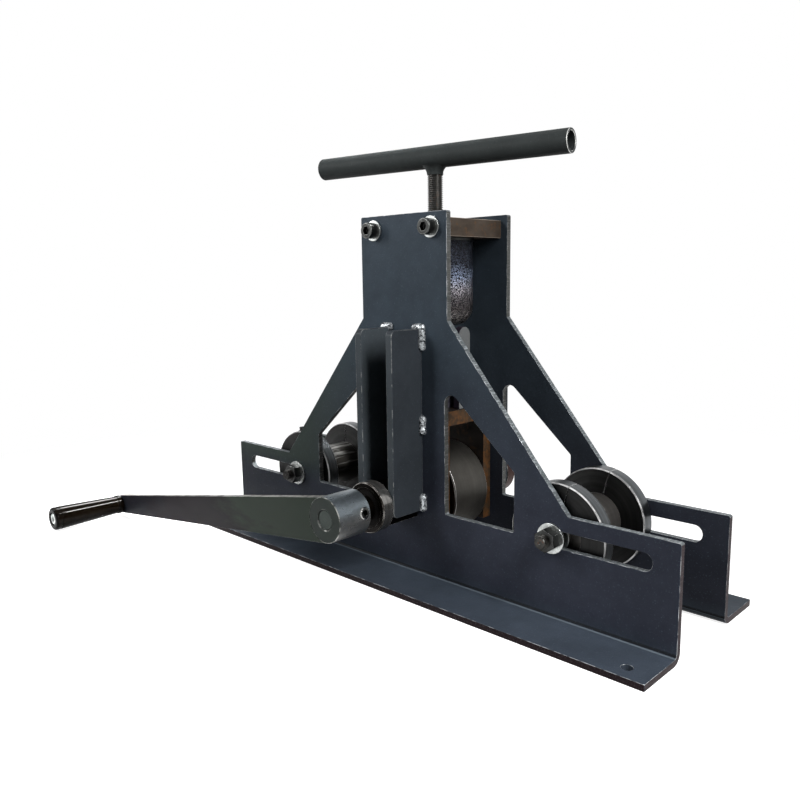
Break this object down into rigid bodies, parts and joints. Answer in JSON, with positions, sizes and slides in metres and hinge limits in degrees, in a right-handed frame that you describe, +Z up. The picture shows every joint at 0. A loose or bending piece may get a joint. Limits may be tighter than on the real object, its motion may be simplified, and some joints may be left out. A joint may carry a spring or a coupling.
{
  "type": "ring roller",
  "caption": "Bench ring roller with a hand crank, a screw-pressed centre roller and adjustable flanged side rollers between folded steel side plates.",
  "frame": {"origin": "on the bench surface, in the middle of the four base holes", "axes": "+X along the base, away from the crank handle; +Y from the crank side to the back; +Z up"},
  "size_m": [0.7392, 0.366, 0.4456],
  "materials": {
    "frame_paint": "satin",
    "grey_paint": "satin",
    "cap_paint": "satin",
    "bare_brown_steel": "mill scale, lightly rusted",
    "black_oxide": "black oxide, oiled",
    "zinc": "bright zinc plate",
    "bearing_steel": "ground",
    "turned_bright_steel": "turned",
    "turned_dark_steel": "turned and blackened",
    "thread_steel": "blackened thread",
    "bronze": "bearing bronze",
    "black_rubber": "matt",
    "grip_plastic": "gloss",
    "sleeve_skin": "crinkled, silvered"
  },
  "bodies": {
    "frame": {"front_side_plate": "frame_paint", "rear_side_plate": "frame_paint", "top_block": "bare_brown_steel", "top_cap_screws": "black_oxide", "top_washers": "zinc", "front_channel_bars": "frame_paint", "rear_channel_bars": "frame_paint", "channel_bar_welds": "frame_paint", "dust_sleeve": "sleeve_skin", "dust_sleeve_ring": "zinc"},
    "carriage": {"yoke_top_plate": "bare_brown_steel", "yoke_legs": "bare_brown_steel", "yoke_uprights": "grey_paint", "yoke_welds": "bare_brown_steel", "yoke_shaft_bushes": "bronze", "screw_retaining_cap": "cap_paint", "retaining_cap_screws": "black_oxide", "thrust_lower_race": "bearing_steel", "thrust_balls": "bearing_steel", "front_slide_block": "turned_bright_steel", "rear_slide_block": "turned_bright_steel", "shaft_bearing_outer_rings": "bearing_steel", "shaft_bearing_balls": "bearing_steel", "shaft_bearing_seals": "black_rubber"},
    "screw": {"press_screw": "thread_steel", "thrust_upper_race": "bearing_steel", "screw_collar_washer": "bronze", "tee_handle_tube": "frame_paint", "tee_handle_weld": "frame_paint"},
    "drive": {"drive_shaft": "turned_dark_steel", "roller_key": "turned_bright_steel", "centre_roller": "turned_dark_steel", "roller_thrust_washers": "bronze", "rear_shaft_circlip": "black_oxide", "shaft_spacer": "turned_bright_steel", "crank_hub": "frame_paint", "crank_arm": "frame_paint", "crank_weld": "frame_paint", "hub_grub_screw": "black_oxide", "handle_spindle": "zinc", "shaft_bearing_inner_rings": "bearing_steel"},
    "grip": {"handle_grip": "grip_plastic"},
    "left_axle_set": {"left_axle": "thread_steel", "left_axle_nuts": "black_oxide", "left_axle_washers": "zinc", "left_axle_spacers": "turned_bright_steel"},
    "left_roller": {"left_roller_drum": "turned_dark_steel", "left_roller_bushes": "bronze", "left_front_disc": "turned_dark_steel", "left_rear_disc": "turned_dark_steel", "left_disc_screws": "black_oxide"},
    "right_axle_set": {"right_axle": "thread_steel", "right_axle_nuts": "black_oxide", "right_axle_washers": "zinc", "right_axle_spacers": "turned_bright_steel"},
    "right_roller": {"right_roller_drum": "turned_dark_steel", "right_roller_bushes": "bronze", "right_front_disc": "turned_dark_steel", "right_rear_disc": "turned_dark_steel", "right_disc_screws": "black_oxide"}
  },
  "joints": [
    {"name": "press_slide", "type": "slide", "parent": "frame", "child": "carriage", "axis": [0, 0, 1], "range_m": [0, 0.08], "deforming": ["dust_sleeve"]},
    {"name": "screw_turn", "type": "hinge", "parent": "carriage", "child": "screw", "pos_m": [0, 0, 0.18], "axis": [0, 0, 1], "range_deg": [-10, 14410]},
    {"name": "drive_turn", "type": "hinge", "parent": "carriage", "child": "drive", "pos_m": [0, 0, 0.084], "axis": [0, 1, 0], "continuous": true},
    {"name": "grip_spin", "type": "hinge", "parent": "drive", "child": "grip", "pos_m": [-0.42471, -0.2077, 0.01673], "axis": [0, 1, 0], "continuous": true},
    {"name": "left_axle_slide", "type": "slide", "parent": "frame", "child": "left_axle_set", "axis": [-1, 0, 0], "range_m": [0, 0.088]},
    {"name": "left_roller_spin", "type": "hinge", "parent": "left_axle_set", "child": "left_roller", "pos_m": [-0.1807, 0, 0.0795], "axis": [0, 1, 0], "continuous": true},
    {"name": "right_axle_slide", "type": "slide", "parent": "frame", "child": "right_axle_set", "axis": [1, 0, 0], "range_m": [0, 0.088]},
    {"name": "right_roller_spin", "type": "hinge", "parent": "right_axle_set", "child": "right_roller", "pos_m": [0.1807, 0, 0.0795], "axis": [0, 1, 0], "continuous": true}
  ],
  "couplings": [
    {"joint": "screw_turn", "follows": "press_slide", "rad_per_m": 3141.6}
  ]
}
